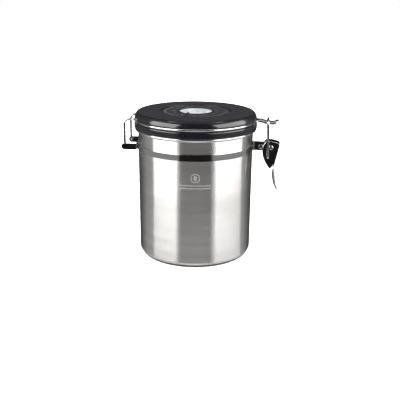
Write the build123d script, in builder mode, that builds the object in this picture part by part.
"""Steel food canister with a hinged, clamped lid, a date dial and a one-way valve.

Millimetres. The origin is on the canister's axis at the plane that it stands on. +Z is up,
the clasp is on the +X side and the hinge is on the -X side.
"""
import os
from math import atan2, cos, degrees, radians, sin, sqrt

from build123d import *

os.makedirs("parts", exist_ok=True)

# Gaps between pieces, and rounded edges
PLAY = 0.05
CLEAR = 0.1
SOFT_EDGE_R = 0.6
CRISP_EDGE_R = 0.3

# Canister body
CAN_R = 60.0
CAN_WALL = 0.8
CAN_FLOOR_Z = 1.6
CAN_CORNER_R = 4.0
PANEL_R = 47.0
PANEL_RISE = 1.4
FLARE_START_Z = 131.0
BEAD_R = 0.9
BEAD_CENTRE_R = 62.1
BEAD_CENTRE_Z = 133.5

# Rubber ring under the base
FOOT_OUTER_R = 57.6
FOOT_INNER_R = 49.5

# Clamp band round the neck and its two ears
BAND_CENTRE_Z = 115.6
BAND_HEIGHT = 6.0
BAND_THICK = 0.7
BAND_GAP = 0.05
EAR_HEIGHT = 8.0
EAR_INNER_Y = 3.3
EAR_BEND_R = 2.0
CLAMP_X = 68.6
CLASP_Z = 116.6

# Lever, pivoted on the ears, and the wire bail that it pulls down
PIVOT_X = 79.0
CHEEK_INNER_Y = 5.9
LEVER_THICK = 1.0
WIRE_R = 1.3
RUNNING = 0.06
BAIL_PIN_DX = -2.7
BAIL_PIN_DZ = -10.6
BAIL_LEG_Y = 9.4
BAIL_CORNER_R = 3.2
BAIL_HEEL_R = 1.9
BAIL_TAIL = 0.7
CROSSBAR_X = 75.0
CROSSBAR_Z = 144.4
RIVET_R = 1.5
HEAD_R = 2.3
HEAD_THICK = 0.85
SPACER_R = 2.7
WASHER_R = 3.0

# Lever's side outline as (x, z) points: a straight web outside, and cheeks that end in a point
WEB_TOP = (88.4, 120.3)
WEB_FOOT = (82.5, 93.4)
CHEEK_CREST = (81.2, 122.7)
CHEEK_TOP = (73.4, 122.9)
CHEEK_BULGE = (70.1, 112.5)
CHEEK_WAIST = (72.4, 102.9)
CHEEK_TIP = (78.6, 93.4)
NOTCH_Z = 98.6
NECK_HALF_WIDTH = 3.5
CHEEK_CORNER_R = 1.6
LEVER_BEND_R = 0.9

# Thumb tab, dished like a spoon, with its flat rim between two (x, z) points
RIM_TOP = (82.2, 95.6)
RIM_TIP = (87.9, 67.3)
TAB_HALF_WIDTH = 7.0
TAB_DEPTH = 3.4

# Lid
LID_R = 63.8
LID_UNDER_Z = 134.6
LID_FLANGE_Z = 141.7
CAP_R = 63.4
CAP_UNDER_Z = 144.65
LID_TOP_Z = 151.6
SHOULDER_WIDTH = 4.6
SHOULDER_R = 3.2
SHOULDER_FOOT_Z = 145.25
PLASTIC = 1.8
FLANGE_EDGE_R = 1.5
SKIRT_EDGE_R = 1.1
COLLAR_R = 61.2
COLLAR_TOP_Z = 146.2
PLUG_R = 54.0
PLUG_UNDER_Z = 130.0
PLUG_LIP = 1.0
GASKET_LEDGE = 3.0
GASKET_R = 58.6
GASKET_UNDER_Z = 132.4
GASKET_TOP_Z = 134.6
GASKET_FOOT = 1.4
GASKET_FOOT_DROP = 0.9

# Wire round the lid, with a tongue for the bail and two legs down to the hinge
LID_WIRE_R = 62.6
LID_WIRE_Z = 143.2
TONGUE_Y = 6.0
TONGUE_BLEND_R = 4.0
TONGUE_SIDE = ((68.5, LID_WIRE_Z), (72.5, 141.85), (78.0, 141.3), (81.0, 141.3), (84.9, 143.3))
TONGUE_BENDS = [6, 8, 8, 6, TONGUE_BLEND_R]
HINGE_X = -72.4
HINGE_Z = 114.9
HINGE_EAR_HEIGHT = 6.6
LEG_TOP_Z = 142.3
LEG_Y = 15.0
LEG_BLEND_R = 5.0
HINGE_EAR_Y = 17.1
BRACKET_GAP = 0.1
BRACKET_RIVET_DEG = (-8.0, 8.0)
BRACKET_RIVET_R = 1.2
BRACKET_HEAD_THICK = 0.8

# Date dial and valve in the middle of the lid
DIAL_R = 36.4
DIAL_FLOOR_Z = 149.8
RING_THICK = 1.0
RING_GAP = 0.15
LAP = 0.6
MONTH_INNER_R = 18.3
MONTH_OUTER_R = 26.9
DAY_OUTER_R = 35.7
MONTH_TAB_DEG = 74.0
DAY_TAB_DEG = -105.0
TAB_WIDTH = 2.2
TAB_RISE = 1.0
TAB_INNER_R = 19.5
TAB_INSET = 0.5
TAB_LIFT = 0.2
COVER_R = 16.8
COVER_EDGE = 0.9
COVER_DOME = 0.5
COVER_RING_R = 18.1
COVER_LAP = 1.0
COVER_BEVEL = 0.3
HUB_R = 17.4
HOUSING_R = 12.0
HOUSING_WALL = 1.5
HOUSING_TOP_HOLE_R = 3.0
SEAT_Z = 140.0
SEAT_THICK = 1.2
PORT_COUNT = 6
PORT_R = 1.2
PORT_CIRCLE_R = 5.0
FLAP_R = 7.6
FLAP_THICK = 0.8
STEM_LENGTH = 2.4
VENT_R = 9.0
CHAMBER_VENT_R = 1.0
FILTER_Z = 136.2
FILTER_THICK = 2.2
HOLDER_WALL = 1.2
HOLDER_RECESS = 0.3
SLOT_COUNT = 8
SLOT_LENGTH = 4.4
SLOT_WIDTH = 1.4
SLOT_CIRCLE_R = 4.6


def save(part, label):
    """Name a finished piece and write it as one STEP file."""
    part.label = label
    export_step(part, f"parts/{label}.step")
    print(f"{label:16s} {len(part.solids()):2d} solids {part.volume:10.1f} mm3")


def profile(*points):
    """A closed outline of (radius, height) points, to turn about the Z axis."""
    with BuildSketch(Plane.XZ) as outline:
        with BuildLine():
            Polyline(*points, close=True)
        make_face()
    return outline.sketch


def radial_plane(turn, height, distance=0):
    """An upright plane that faces outwards at one angle round the canister."""
    out = (cos(radians(turn)), sin(radians(turn)), 0)
    return Plane(origin=(distance * out[0], distance * out[1], height), z_dir=out)


def circles_near(part, radius, height):
    """The full circular edges of one radius that lie in the plane at one height."""
    rings = part.edges().filter_by(GeomType.CIRCLE)
    return [e for e in rings if abs(e.radius - radius) < 0.01 and abs(e.center().Z - height) < 0.01]


# ---------------------------------------------------------------- canister body
flare_top = (BEAD_CENTRE_R - BEAD_R, BEAD_CENTRE_Z)
inside_r = CAN_R - CAN_WALL
with BuildPart() as canister_body:
    with BuildSketch(Plane.XZ):
        with BuildLine():
            Line((0, CAN_FLOOR_Z + PANEL_RISE), (PANEL_R - PANEL_RISE, CAN_FLOOR_Z + PANEL_RISE))
            Line((PANEL_R - PANEL_RISE, CAN_FLOOR_Z + PANEL_RISE), (PANEL_R, CAN_FLOOR_Z))
            Line((PANEL_R, CAN_FLOOR_Z), (CAN_R - CAN_CORNER_R, CAN_FLOOR_Z))
            RadiusArc(
                (CAN_R - CAN_CORNER_R, CAN_FLOOR_Z),
                (CAN_R, CAN_FLOOR_Z + CAN_CORNER_R),
                -CAN_CORNER_R,
            )
            Line((CAN_R, CAN_FLOOR_Z + CAN_CORNER_R), (CAN_R, FLARE_START_Z))
            Line((CAN_R, FLARE_START_Z), (flare_top[0] + CAN_WALL, flare_top[1]))
            Line((flare_top[0] + CAN_WALL, flare_top[1]), flare_top)
            Line(flare_top, (inside_r, FLARE_START_Z))
            Line((inside_r, FLARE_START_Z), (inside_r, CAN_FLOOR_Z + CAN_CORNER_R))
            RadiusArc(
                (inside_r, CAN_FLOOR_Z + CAN_CORNER_R),
                (CAN_R - CAN_CORNER_R, CAN_FLOOR_Z + CAN_WALL),
                CAN_CORNER_R - CAN_WALL,
            )
            Line((CAN_R - CAN_CORNER_R, CAN_FLOOR_Z + CAN_WALL), (PANEL_R, CAN_FLOOR_Z + CAN_WALL))
            Line(
                (PANEL_R, CAN_FLOOR_Z + CAN_WALL),
                (PANEL_R - PANEL_RISE, CAN_FLOOR_Z + PANEL_RISE + CAN_WALL),
            )
            Line(
                (PANEL_R - PANEL_RISE, CAN_FLOOR_Z + PANEL_RISE + CAN_WALL),
                (0, CAN_FLOOR_Z + PANEL_RISE + CAN_WALL),
            )
            Line((0, CAN_FLOOR_Z + PANEL_RISE + CAN_WALL), (0, CAN_FLOOR_Z + PANEL_RISE))
        make_face()
        with Locations((BEAD_CENTRE_R, BEAD_CENTRE_Z)):
            Circle(BEAD_R)
    revolve(axis=Axis.Z)
save(canister_body.part, "canister_body")

# ---------------------------------------------------------------- rubber foot ring
with BuildPart() as foot_ring:
    revolve(
        profile(
            (FOOT_INNER_R, 0),
            (FOOT_OUTER_R, 0),
            (FOOT_OUTER_R, CAN_FLOOR_Z),
            (FOOT_INNER_R, CAN_FLOOR_Z),
        ),
        axis=Axis.Z,
    )
    fillet(circles_near(foot_ring.part, FOOT_OUTER_R, 0), SOFT_EDGE_R)
    fillet(circles_near(foot_ring.part, FOOT_INNER_R, 0), SOFT_EDGE_R)
save(foot_ring.part, "foot_ring")

# ---------------------------------------------------------------- neck band with clasp ears
band_in = CAN_R + BAND_GAP
band_out = band_in + BAND_THICK
band_bottom = BAND_CENTRE_Z - BAND_HEIGHT / 2
ear_outer_y = EAR_INNER_Y + BAND_THICK
bend_y = ear_outer_y + EAR_BEND_R
bend_x = sqrt((band_out + EAR_BEND_R) ** 2 - bend_y**2)
with BuildPart() as neck_band:
    with BuildSketch(Plane.XY.offset(band_bottom)):
        Circle(band_out)
        Circle(band_in, mode=Mode.SUBTRACT)
        with BuildLine():
            Polyline((0, 0), (2 * bend_x, 2 * bend_y), (2 * bend_x, -2 * bend_y), close=True)
        make_face(mode=Mode.SUBTRACT)
    extrude(amount=BAND_HEIGHT)
    with BuildSketch(Plane.XY.offset(CLASP_Z - EAR_HEIGHT / 2)):
        with Locations((bend_x, bend_y), (bend_x, -bend_y)):
            Circle(EAR_BEND_R + BAND_THICK)
            Circle(EAR_BEND_R, mode=Mode.SUBTRACT)
        with BuildLine():
            Polyline((0, 0), (bend_x, bend_y), (bend_x, -bend_y), close=True)
        make_face(mode=Mode.INTERSECT)
    extrude(amount=EAR_HEIGHT)
    with BuildSketch(Plane.XZ.offset(-ear_outer_y)):
        with Locations(((PIVOT_X + bend_x) / 2, CLASP_Z)):
            Rectangle(PIVOT_X - bend_x, EAR_HEIGHT)
        with Locations((PIVOT_X, CLASP_Z)):
            Circle(EAR_HEIGHT / 2)
    extrude(amount=BAND_THICK)
    mirror(about=Plane.XZ)
    with BuildSketch(Plane.XZ.offset(-PIVOT_X / 2)):
        with Locations((CLAMP_X, CLASP_Z), (PIVOT_X, CLASP_Z)):
            Circle(RIVET_R + RUNNING)
    extrude(amount=PIVOT_X, mode=Mode.SUBTRACT)
    for turn in BRACKET_RIVET_DEG:
        with BuildSketch(radial_plane(180 + turn, BAND_CENTRE_Z)):
            Circle(BRACKET_RIVET_R)
        extrude(amount=2 * CAN_R, mode=Mode.SUBTRACT)
save(neck_band.part, "neck_band")

# ---------------------------------------------------------------- hinge bracket and its rivets
saddle_in = band_out + BRACKET_GAP
saddle_out = saddle_in + BAND_THICK
hinge_ear_outer_y = HINGE_EAR_Y + BAND_THICK
hinge_bend_y = HINGE_EAR_Y - EAR_BEND_R
hinge_bend_x = -sqrt((saddle_out + EAR_BEND_R) ** 2 - hinge_bend_y**2)
with BuildPart() as hinge_bracket:
    with BuildSketch(Plane.XY.offset(HINGE_Z - HINGE_EAR_HEIGHT / 2)):
        Circle(saddle_out)
        Circle(saddle_in, mode=Mode.SUBTRACT)
        with BuildLine():
            Polyline(
                (0, 0),
                (2 * hinge_bend_x, 2 * hinge_bend_y),
                (2 * hinge_bend_x, -2 * hinge_bend_y),
                close=True,
            )
        make_face(mode=Mode.INTERSECT)
    extrude(amount=HINGE_EAR_HEIGHT)
    with BuildSketch(Plane.XY.offset(HINGE_Z - HINGE_EAR_HEIGHT / 2)):
        with Locations((hinge_bend_x, hinge_bend_y), (hinge_bend_x, -hinge_bend_y)):
            Circle(EAR_BEND_R + BAND_THICK)
            Circle(EAR_BEND_R, mode=Mode.SUBTRACT)
        with BuildLine():
            Polyline(
                (0, 0),
                (hinge_bend_x, hinge_bend_y),
                (hinge_bend_x, hinge_bend_y + 2 * EAR_BEND_R),
                (0, hinge_bend_y + 2 * EAR_BEND_R),
                close=True,
            )
            Polyline(
                (0, 0),
                (hinge_bend_x, -hinge_bend_y),
                (hinge_bend_x, -hinge_bend_y - 2 * EAR_BEND_R),
                (0, -hinge_bend_y - 2 * EAR_BEND_R),
                close=True,
            )
        make_face(mode=Mode.INTERSECT)
    extrude(amount=HINGE_EAR_HEIGHT)
    with BuildSketch(Plane.XZ.offset(-hinge_ear_outer_y)):
        with Locations(((HINGE_X + hinge_bend_x) / 2, HINGE_Z)):
            Rectangle(hinge_bend_x - HINGE_X, HINGE_EAR_HEIGHT)
        with Locations((HINGE_X, HINGE_Z)):
            Circle(HINGE_EAR_HEIGHT / 2)
    extrude(amount=BAND_THICK)
    mirror(about=Plane.XZ)
    with BuildSketch(Plane.XZ.offset(-CAN_R / 2)):
        with Locations((HINGE_X, HINGE_Z)):
            Circle(WIRE_R + RUNNING)
    extrude(amount=CAN_R, mode=Mode.SUBTRACT)
    for turn in BRACKET_RIVET_DEG:
        with BuildSketch(radial_plane(180 + turn, BAND_CENTRE_Z)):
            Circle(BRACKET_RIVET_R)
        extrude(amount=2 * CAN_R, mode=Mode.SUBTRACT)
save(hinge_bracket.part, "hinge_bracket")

with BuildPart() as hinge_rivets:
    for turn in BRACKET_RIVET_DEG:
        with BuildSketch(radial_plane(180 + turn, BAND_CENTRE_Z)):
            Circle(BRACKET_RIVET_R)
        extrude(amount=saddle_out + BRACKET_GAP + BRACKET_HEAD_THICK)
        with BuildSketch(radial_plane(180 + turn, BAND_CENTRE_Z, saddle_out + BRACKET_GAP)):
            Circle(2 * BRACKET_RIVET_R)
        extrude(amount=BRACKET_HEAD_THICK)
    with BuildSketch(Plane.XY):
        Circle(band_in)
    extrude(amount=LID_TOP_Z, mode=Mode.SUBTRACT)
save(hinge_rivets.part, "hinge_rivets")


# ---------------------------------------------------------------- clasp rivets, spacer, washers
def cross_rivet(x, grip):
    """A rivet along Y through the clasp, with a round head at each end of its grip."""
    with BuildPart() as rivet:
        for start, length, radius in (
            (grip / 2, HEAD_THICK, HEAD_R),
            (-grip / 2, grip, RIVET_R),
            (-grip / 2 - HEAD_THICK, HEAD_THICK, HEAD_R),
        ):
            with BuildSketch(Plane.XZ.offset(start)):
                with Locations((x, CLASP_Z)):
                    Circle(radius)
            extrude(amount=length)
        ends = rivet.edges().group_by(Axis.Y)
        fillet(ends[0] + ends[-1], SOFT_EDGE_R)
    return rivet.part


def cross_tube(x, start, length, radius):
    """A tube along Y round a clasp rivet, from y = start towards +Y."""
    with BuildPart() as tube:
        with BuildSketch(Plane.XZ.offset(-start - length)):
            with Locations((x, CLASP_Z)):
                Circle(radius)
                Circle(RIVET_R + RUNNING, mode=Mode.SUBTRACT)
        extrude(amount=length)
    return tube.part


cheek_outer_y = CHEEK_INNER_Y + LEVER_THICK
washer_thick = CHEEK_INNER_Y - ear_outer_y - 2 * PLAY
save(cross_rivet(CLAMP_X, 2 * ear_outer_y), "clamp_rivet")
save(cross_rivet(PIVOT_X, 2 * (cheek_outer_y + CLEAR)), "lever_pivot")
save(cross_tube(CLAMP_X, -EAR_INNER_Y, 2 * EAR_INNER_Y, SPACER_R), "clamp_spacer")
with BuildPart() as pivot_washers:
    add(cross_tube(PIVOT_X, ear_outer_y + PLAY, washer_thick, WASHER_R))
    mirror(about=Plane.XZ)
save(pivot_washers.part, "pivot_washers")

# ---------------------------------------------------------------- latch lever
bail_pin = (PIVOT_X + BAIL_PIN_DX, CLASP_Z + BAIL_PIN_DZ)
web_lean = (WEB_TOP[0] - WEB_FOOT[0]) / (WEB_TOP[1] - WEB_FOOT[1])
web_level_thick = LEVER_THICK * sqrt(1 + web_lean**2)


def inside_web(z):
    """The (x, z) point on the web's inner face at one height."""
    return (WEB_FOOT[0] + web_lean * (z - WEB_FOOT[1]) - web_level_thick, z)


rim = Vector(RIM_TOP[0] - RIM_TIP[0], 0, RIM_TOP[1] - RIM_TIP[1])
rim_middle = Vector(RIM_TOP[0] + RIM_TIP[0], 0, RIM_TOP[1] + RIM_TIP[1]) / 2
rim_half = rim.length / 2
tab_back = Vector(-rim.Z, 0, rim.X).normalized()
tab_r = (TAB_HALF_WIDTH**2 + TAB_DEPTH**2) / (2 * TAB_DEPTH)
rim_off = tab_r - TAB_DEPTH
tab_long_r = (rim_half**2 + TAB_DEPTH**2) / (2 * TAB_DEPTH)
rim_half_in = sqrt((tab_long_r - LEVER_THICK) ** 2 - (tab_long_r - TAB_DEPTH) ** 2)
tab_axis = rim_middle - tab_back * rim_off
with BuildPart() as thumb_tab:
    with BuildSketch(Plane(origin=tab_axis, x_dir=tab_back, z_dir=(0, 1, 0))):
        with BuildLine():
            ThreePointArc((rim_off, -rim_half), (tab_r, 0), (rim_off, rim_half))
            Line((rim_off, rim_half), (rim_off, rim_half_in))
            ThreePointArc(
                (rim_off, rim_half_in),
                (tab_r - LEVER_THICK, 0),
                (rim_off, -rim_half_in),
            )
            Line((rim_off, -rim_half_in), (rim_off, -rim_half))
        make_face()
    revolve(axis=Axis(tab_axis, rim))
    split(bisect_by=Plane(origin=rim_middle, z_dir=tab_back), keep=Keep.TOP)

with BuildPart() as latch_lever:
    with BuildSketch(Plane.XZ):
        with BuildLine():
            ThreePointArc(WEB_TOP, CHEEK_CREST, CHEEK_TOP)
            Spline(CHEEK_TOP, CHEEK_BULGE, CHEEK_WAIST, CHEEK_TIP)
            Polyline(CHEEK_TIP, inside_web(NOTCH_Z), inside_web(WEB_FOOT[1]), WEB_FOOT, WEB_TOP)
        make_face()
        fillet(vertices().sort_by(Axis.Y)[-2:], CHEEK_CORNER_R)
    extrude(amount=cheek_outer_y, both=True)
    bends = latch_lever.edges().filter_by(GeomType.LINE).group_by(SortBy.LENGTH)[-1]
    fillet(bends, LEVER_BEND_R)
    with BuildSketch(Plane.XZ):
        with BuildLine():
            Polyline(
                inside_web(LID_UNDER_Z),
                (CAN_R, LID_UNDER_Z),
                (CAN_R, RIM_TIP[1]),
                inside_web(RIM_TIP[1]),
                close=True,
            )
        make_face()
    extrude(amount=CHEEK_INNER_Y, both=True, mode=Mode.SUBTRACT)
    with BuildSketch(Plane.YZ.offset(inside_web(WEB_FOOT[1])[0] - CLEAR)):
        for side in (1, -1):
            with BuildLine():
                Polyline(
                    (side * NECK_HALF_WIDTH, RIM_TIP[1]),
                    (side * NECK_HALF_WIDTH, WEB_FOOT[1]),
                    (side * (cheek_outer_y + CLEAR), NOTCH_Z),
                    (side * (cheek_outer_y + CLEAR), RIM_TIP[1]),
                    close=True,
                )
            make_face()
    extrude(amount=WEB_TOP[0] - CHEEK_TOP[0], mode=Mode.SUBTRACT)
    add(thumb_tab.part)
    for centre, radius in (((PIVOT_X, CLASP_Z), RIVET_R), (bail_pin, WIRE_R)):
        with BuildSketch(Plane.XZ):
            with Locations(centre):
                Circle(radius + RUNNING)
        extrude(amount=2 * cheek_outer_y, both=True, mode=Mode.SUBTRACT)
save(latch_lever.part, "latch_lever")

# ---------------------------------------------------------------- bail
pin_end_y = CHEEK_INNER_Y - BAIL_TAIL
with BuildPart() as bail_wire:
    with BuildLine() as bail_route:
        FilletPolyline(
            (bail_pin[0], pin_end_y, bail_pin[1]),
            (bail_pin[0], BAIL_LEG_Y, bail_pin[1]),
            (CROSSBAR_X, BAIL_LEG_Y, CROSSBAR_Z),
            (CROSSBAR_X, -BAIL_LEG_Y, CROSSBAR_Z),
            (bail_pin[0], -BAIL_LEG_Y, bail_pin[1]),
            (bail_pin[0], -pin_end_y, bail_pin[1]),
            radius=[BAIL_HEEL_R, BAIL_CORNER_R, BAIL_CORNER_R, BAIL_HEEL_R],
        )
    with BuildSketch(Plane(origin=(bail_pin[0], pin_end_y, bail_pin[1]), z_dir=(0, 1, 0))):
        Circle(WIRE_R)
    sweep(path=bail_route.wires()[0])
save(bail_wire.part, "bail_wire")

# ---------------------------------------------------------------- wire round the lid
leg_centre_y = LEG_Y + LEG_BLEND_R
leg_centre_x = -sqrt((LID_WIRE_R + LEG_BLEND_R) ** 2 - leg_centre_y**2)
leg_turn = degrees(atan2(leg_centre_y, -leg_centre_x))
tongue_centre_y = TONGUE_Y + TONGUE_BLEND_R
tongue_centre_x = sqrt((LID_WIRE_R + TONGUE_BLEND_R) ** 2 - tongue_centre_y**2)
tongue_turn = degrees(atan2(tongue_centre_y, tongue_centre_x))
leg_end_y = hinge_ear_outer_y + HEAD_THICK
with BuildPart() as lid_wire:
    with BuildLine() as lid_route:
        for side in (1, -1):
            FilletPolyline(
                (HINGE_X, side * leg_end_y, HINGE_Z),
                (HINGE_X, side * LEG_Y, HINGE_Z),
                (HINGE_X, side * LEG_Y, LEG_TOP_Z),
                (leg_centre_x - 1, side * LEG_Y, LID_WIRE_Z),
                (leg_centre_x, side * LEG_Y, LID_WIRE_Z),
                radius=[BAIL_HEEL_R, LEG_BLEND_R - 1, 3],
            )
            CenterArc(
                (leg_centre_x, side * leg_centre_y, LID_WIRE_Z),
                LEG_BLEND_R,
                -side * 90,
                side * (90 - leg_turn),
            )
            CenterArc(
                (0, 0, LID_WIRE_Z),
                LID_WIRE_R,
                side * (180 - leg_turn),
                -side * (180 - leg_turn - tongue_turn),
            )
            CenterArc(
                (tongue_centre_x, side * tongue_centre_y, LID_WIRE_Z),
                TONGUE_BLEND_R,
                side * (180 + tongue_turn),
                side * (90 - tongue_turn),
            )
        out_and_back = [(x, TONGUE_Y, z) for x, z in TONGUE_SIDE]
        out_and_back += [(x, -TONGUE_Y, z) for x, z in reversed(TONGUE_SIDE)]
        FilletPolyline(
            (tongue_centre_x, TONGUE_Y, LID_WIRE_Z),
            *out_and_back,
            (tongue_centre_x, -TONGUE_Y, LID_WIRE_Z),
            radius=TONGUE_BENDS + TONGUE_BENDS[::-1],
        )
    with BuildSketch(Plane(origin=(HINGE_X, leg_end_y, HINGE_Z), z_dir=(0, -1, 0))):
        Circle(WIRE_R)
    sweep(path=Wire(lid_route.edges()))
    for side in (1, -1):
        with BuildSketch(Plane.XZ.offset(-side * (hinge_ear_outer_y + CLEAR))):
            with Locations((HINGE_X, HINGE_Z)):
                Circle(HEAD_R)
        extrude(amount=-side * HEAD_THICK)
save(lid_wire.part, "lid_wire")

# ---------------------------------------------------------------- lid base, gasket and cap
ledge_r = PLUG_R + GASKET_LEDGE
lip_r = PLUG_R + PLUG_LIP
with BuildPart() as lid_base:
    revolve(
        profile(
            (VENT_R, PLUG_UNDER_Z),
            (lip_r, PLUG_UNDER_Z),
            (lip_r, PLUG_UNDER_Z + PLUG_LIP),
            (PLUG_R, PLUG_UNDER_Z + PLUG_LIP),
            (PLUG_R, GASKET_TOP_Z + CLEAR),
            (ledge_r, GASKET_TOP_Z + CLEAR),
            (ledge_r, GASKET_TOP_Z + PLASTIC),
            (PLUG_R, GASKET_TOP_Z + PLASTIC),
            (PLUG_R, LID_FLANGE_Z - PLASTIC),
            (LID_R - PLASTIC, LID_FLANGE_Z - PLASTIC),
            (LID_R - PLASTIC, LID_UNDER_Z),
            (LID_R, LID_UNDER_Z),
            (LID_R, LID_FLANGE_Z),
            (COLLAR_R, LID_FLANGE_Z),
            (COLLAR_R, COLLAR_TOP_Z),
            (COLLAR_R - PLASTIC, COLLAR_TOP_Z),
            (COLLAR_R - PLASTIC, LID_FLANGE_Z),
            (PLUG_R - PLASTIC, LID_FLANGE_Z),
            (PLUG_R - PLASTIC, PLUG_UNDER_Z + PLASTIC),
            (VENT_R, PLUG_UNDER_Z + PLASTIC),
        ),
        axis=Axis.Z,
    )
    fillet(circles_near(lid_base.part, LID_R, LID_FLANGE_Z), FLANGE_EDGE_R)
    fillet(circles_near(lid_base.part, LID_R, LID_UNDER_Z), SKIRT_EDGE_R)
    fillet(circles_near(lid_base.part, lip_r, PLUG_UNDER_Z), SOFT_EDGE_R)
save(lid_base.part, "lid_base")

with BuildPart() as lid_gasket:
    revolve(
        profile(
            (PLUG_R + PLAY, GASKET_UNDER_Z - GASKET_FOOT_DROP),
            (PLUG_R + GASKET_FOOT, GASKET_UNDER_Z - GASKET_FOOT_DROP),
            (PLUG_R + GASKET_FOOT + GASKET_FOOT_DROP, GASKET_UNDER_Z),
            (GASKET_R, GASKET_UNDER_Z),
            (GASKET_R, GASKET_TOP_Z),
            (PLUG_R + PLAY, GASKET_TOP_Z),
        ),
        axis=Axis.Z,
    )
    fillet(circles_near(lid_gasket.part, GASKET_R, GASKET_UNDER_Z), SOFT_EDGE_R)
    fillet(circles_near(lid_gasket.part, GASKET_R, GASKET_TOP_Z), SOFT_EDGE_R)
save(lid_gasket.part, "lid_gasket")

cap_inner_r = CAP_R - PLASTIC
shoulder_rise = LID_TOP_Z - SHOULDER_FOOT_Z
side_r = (SHOULDER_WIDTH**2 + shoulder_rise**2 - 2 * shoulder_rise * SHOULDER_R) / (
    2 * (SHOULDER_WIDTH - SHOULDER_R)
)
side_centre = (CAP_R - side_r, SHOULDER_FOOT_Z)
shoulder_centre = (CAP_R - SHOULDER_WIDTH, LID_TOP_Z - SHOULDER_R)
blend_turn = degrees(
    atan2(shoulder_centre[1] - side_centre[1], shoulder_centre[0] - side_centre[0])
)
with BuildPart() as lid_cap:
    with BuildSketch(Plane.XZ):
        with BuildLine():
            Polyline(
                (CAP_R, SHOULDER_FOOT_Z),
                (CAP_R, CAP_UNDER_Z),
                (cap_inner_r, CAP_UNDER_Z),
                (cap_inner_r, SHOULDER_FOOT_Z),
            )
            CenterArc(side_centre, side_r - PLASTIC, 0, blend_turn)
            CenterArc(shoulder_centre, SHOULDER_R - PLASTIC, blend_turn, 90 - blend_turn)
            Polyline(
                (shoulder_centre[0], LID_TOP_Z - PLASTIC),
                (DIAL_R + PLASTIC, LID_TOP_Z - PLASTIC),
                (DIAL_R + PLASTIC, DIAL_FLOOR_Z - PLASTIC),
                (HUB_R, DIAL_FLOOR_Z - PLASTIC),
                (HUB_R, DIAL_FLOOR_Z),
                (DIAL_R, DIAL_FLOOR_Z),
                (DIAL_R, LID_TOP_Z),
                (shoulder_centre[0], LID_TOP_Z),
            )
            CenterArc(shoulder_centre, SHOULDER_R, 90, blend_turn - 90)
            CenterArc(side_centre, side_r, blend_turn, -blend_turn)
        make_face()
    revolve(axis=Axis.Z)
    fillet(circles_near(lid_cap.part, DIAL_R, LID_TOP_Z), CRISP_EDGE_R)
    fillet(circles_near(lid_cap.part, CAP_R, CAP_UNDER_Z), CRISP_EDGE_R)
save(lid_cap.part, "lid_cap")

# ---------------------------------------------------------------- one-way valve
housing_in_r = HOUSING_R - HOUSING_WALL
hub_in_r = HUB_R - 2 * PLAY
plug_floor_z = PLUG_UNDER_Z + PLASTIC + CLEAR
with BuildPart() as valve_housing:
    revolve(
        profile(
            (CHAMBER_VENT_R, SEAT_Z),
            (housing_in_r, SEAT_Z),
            (housing_in_r, plug_floor_z),
            (HOUSING_R, plug_floor_z),
            (HOUSING_R, DIAL_FLOOR_Z - PLASTIC),
            (hub_in_r, DIAL_FLOOR_Z - PLASTIC),
            (hub_in_r, DIAL_FLOOR_Z),
            (HOUSING_TOP_HOLE_R, DIAL_FLOOR_Z),
            (HOUSING_TOP_HOLE_R, DIAL_FLOOR_Z - PLASTIC),
            (housing_in_r, DIAL_FLOOR_Z - PLASTIC),
            (housing_in_r, SEAT_Z + SEAT_THICK),
            (CHAMBER_VENT_R, SEAT_Z + SEAT_THICK),
        ),
        axis=Axis.Z,
    )
    with BuildSketch(Plane.XY.offset(SEAT_Z)):
        with PolarLocations(PORT_CIRCLE_R, PORT_COUNT):
            Circle(PORT_R)
    extrude(amount=SEAT_THICK, mode=Mode.SUBTRACT)
save(valve_housing.part, "valve_housing")

flap_z = SEAT_Z + SEAT_THICK + PLAY
with BuildPart() as valve_flap:
    with BuildSketch(Plane.XY.offset(flap_z)):
        Circle(FLAP_R)
    extrude(amount=FLAP_THICK)
    with BuildSketch(Plane.XY.offset(flap_z - STEM_LENGTH)):
        Circle(CHAMBER_VENT_R - CLEAR)
    extrude(amount=STEM_LENGTH)
save(valve_flap.part, "valve_flap")

with BuildPart() as valve_filter:
    with BuildSketch(Plane.XY.offset(FILTER_Z)):
        Circle(housing_in_r - 2 * CLEAR)
    extrude(amount=FILTER_THICK)
save(valve_filter.part, "valve_filter")

holder_r = housing_in_r - CLEAR
with BuildPart() as filter_holder:
    revolve(
        profile(
            (0, PLUG_UNDER_Z + HOLDER_RECESS),
            (VENT_R - CLEAR, PLUG_UNDER_Z + HOLDER_RECESS),
            (VENT_R - CLEAR, plug_floor_z),
            (holder_r, plug_floor_z),
            (holder_r, FILTER_Z - PLAY),
            (holder_r - HOLDER_WALL, FILTER_Z - PLAY),
            (holder_r - HOLDER_WALL, plug_floor_z + HOLDER_WALL),
            (0, plug_floor_z + HOLDER_WALL),
        ),
        axis=Axis.Z,
    )
    with BuildSketch(Plane.XY.offset(PLUG_UNDER_Z)):
        with PolarLocations(SLOT_CIRCLE_R, SLOT_COUNT):
            SlotOverall(SLOT_LENGTH, SLOT_WIDTH)
    extrude(amount=FILTER_Z - PLUG_UNDER_Z, mode=Mode.SUBTRACT)
save(filter_holder.part, "filter_holder")

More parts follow.
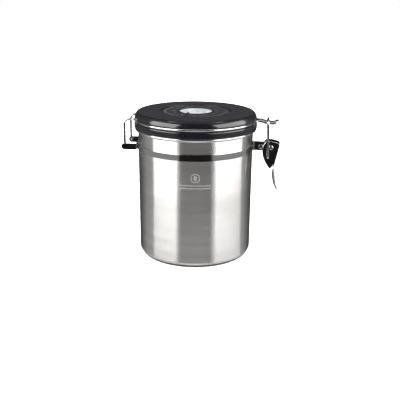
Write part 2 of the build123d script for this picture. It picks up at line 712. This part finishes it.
cover_z = DIAL_FLOOR_Z + PLAY
dome_r = (COVER_R**2 + COVER_DOME**2) / (2 * COVER_DOME)
cover_top_z = cover_z + COVER_EDGE + COVER_DOME
with BuildPart() as valve_cover:
    with BuildSketch(Plane.XZ):
        with BuildLine():
            Line((0, cover_z), (COVER_R, cover_z))
            Line((COVER_R, cover_z), (COVER_R, cover_z + COVER_EDGE))
            ThreePointArc(
                (COVER_R, cover_z + COVER_EDGE),
                (COVER_R / 2, cover_top_z - dome_r + sqrt(dome_r**2 - COVER_R**2 / 4)),
                (0, cover_top_z),
            )
            Line((0, cover_top_z), (0, cover_z))
        make_face()
    revolve(axis=Axis.Z)
save(valve_cover.part, "valve_cover")

dial_z = DIAL_FLOOR_Z + CLEAR
dial_top = dial_z + RING_THICK
with BuildPart() as cover_ring:
    revolve(
        profile(
            (COVER_R + PLAY, cover_z),
            (COVER_RING_R, cover_z),
            (COVER_RING_R, dial_top + CLEAR),
            (COVER_RING_R + COVER_LAP, dial_top + CLEAR),
            (COVER_RING_R + COVER_LAP - COVER_BEVEL, dial_top + CLEAR + COVER_BEVEL),
            (COVER_R + PLAY, dial_top + CLEAR + COVER_BEVEL),
        ),
        axis=Axis.Z,
    )
save(cover_ring.part, "cover_ring")


# ---------------------------------------------------------------- date dial
def tab_plane(turn, height):
    """A level plane whose x axis points along one dial direction."""
    along = (cos(radians(turn)), sin(radians(turn)), 0)
    return Plane(origin=(0, 0, height), x_dir=along, z_dir=(0, 0, 1))


month_edge_r = MONTH_OUTER_R + LAP
step_z = dial_z + RING_THICK / 2
with BuildPart() as month_ring:
    revolve(
        profile(
            (MONTH_INNER_R, dial_z),
            (MONTH_OUTER_R, dial_z),
            (MONTH_OUTER_R, step_z + PLAY),
            (month_edge_r, step_z + PLAY),
            (month_edge_r, dial_top),
            (MONTH_INNER_R, dial_top),
        ),
        axis=Axis.Z,
    )
    with BuildSketch(tab_plane(MONTH_TAB_DEG, dial_top)):
        with Locations(((TAB_INNER_R + MONTH_OUTER_R) / 2, 0)):
            Rectangle(MONTH_OUTER_R - TAB_INNER_R, TAB_WIDTH)
    extrude(amount=TAB_RISE)
    fillet(month_ring.edges().group_by(Axis.Z)[-1], CRISP_EDGE_R)
save(month_ring.part, "month_ring")

day_tab_root_r = month_edge_r + TAB_INSET
day_tab_end_r = DAY_OUTER_R - TAB_INSET
with BuildPart() as day_ring:
    revolve(
        profile(
            (MONTH_OUTER_R + RING_GAP, dial_z),
            (DAY_OUTER_R, dial_z),
            (DAY_OUTER_R, dial_top),
            (month_edge_r + RING_GAP, dial_top),
            (month_edge_r + RING_GAP, step_z - PLAY),
            (MONTH_OUTER_R + RING_GAP, step_z - PLAY),
        ),
        axis=Axis.Z,
    )
    with BuildSketch(tab_plane(DAY_TAB_DEG, dial_top)):
        with Locations(((day_tab_root_r + day_tab_end_r) / 2, 0)):
            Rectangle(day_tab_end_r - day_tab_root_r, TAB_WIDTH)
    extrude(amount=2 * TAB_RISE)
    with BuildSketch(tab_plane(DAY_TAB_DEG, dial_top + TAB_RISE + TAB_LIFT)):
        with Locations(((TAB_INNER_R + day_tab_end_r) / 2, 0)):
            Rectangle(day_tab_end_r - TAB_INNER_R, TAB_WIDTH)
    extrude(amount=TAB_RISE - TAB_LIFT)
    fillet(day_ring.edges().group_by(Axis.Z)[-1], CRISP_EDGE_R)
save(day_ring.part, "day_ring")
